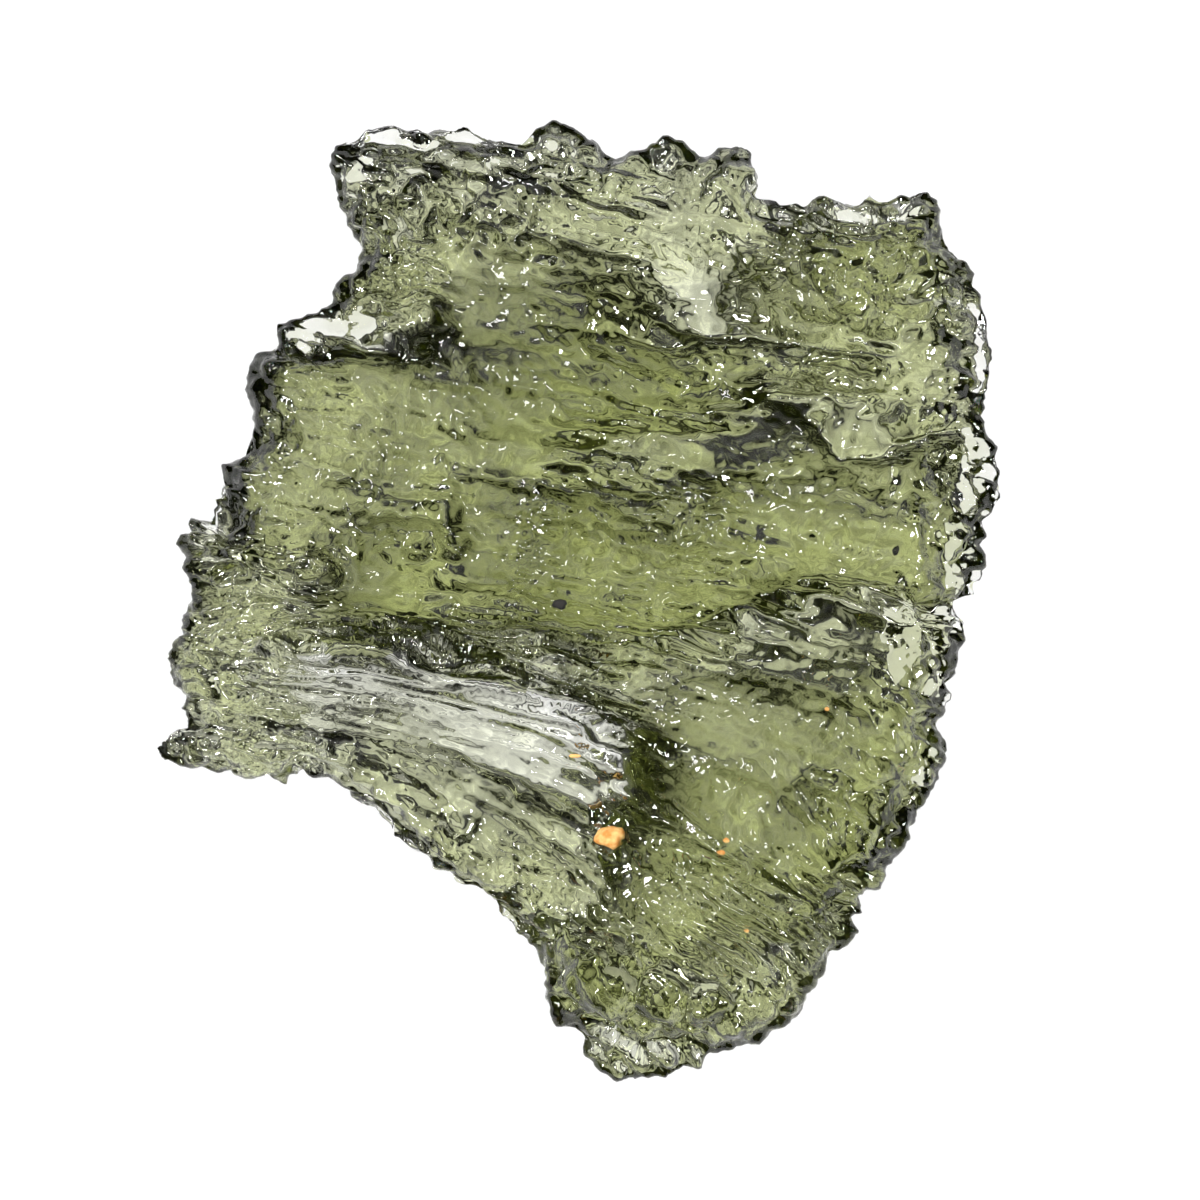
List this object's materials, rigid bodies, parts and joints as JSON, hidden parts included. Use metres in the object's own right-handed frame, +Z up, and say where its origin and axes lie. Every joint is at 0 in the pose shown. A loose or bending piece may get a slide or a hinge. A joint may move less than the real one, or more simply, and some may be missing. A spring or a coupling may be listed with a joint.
{
  "type": "moldavite",
  "caption": "Thin irregular plate of natural olive-green tektite glass with a broken rim, a steep ledge across its face and a pointed spur, resting on a small flat spot of its underside.",
  "frame": {"origin": "under the middle of the stone's box, on the plane that it rests on", "axes": "+Z up, out of the pictured face; +Y towards the top of the picture; +X to its right"},
  "size_m": [0.0212, 0.024, 0.0035],
  "materials": {
    "glass": "glossy, finely etched, see-through"
  },
  "bodies": {
    "root": {"moldavite": "glass"}
  },
  "joints": []
}
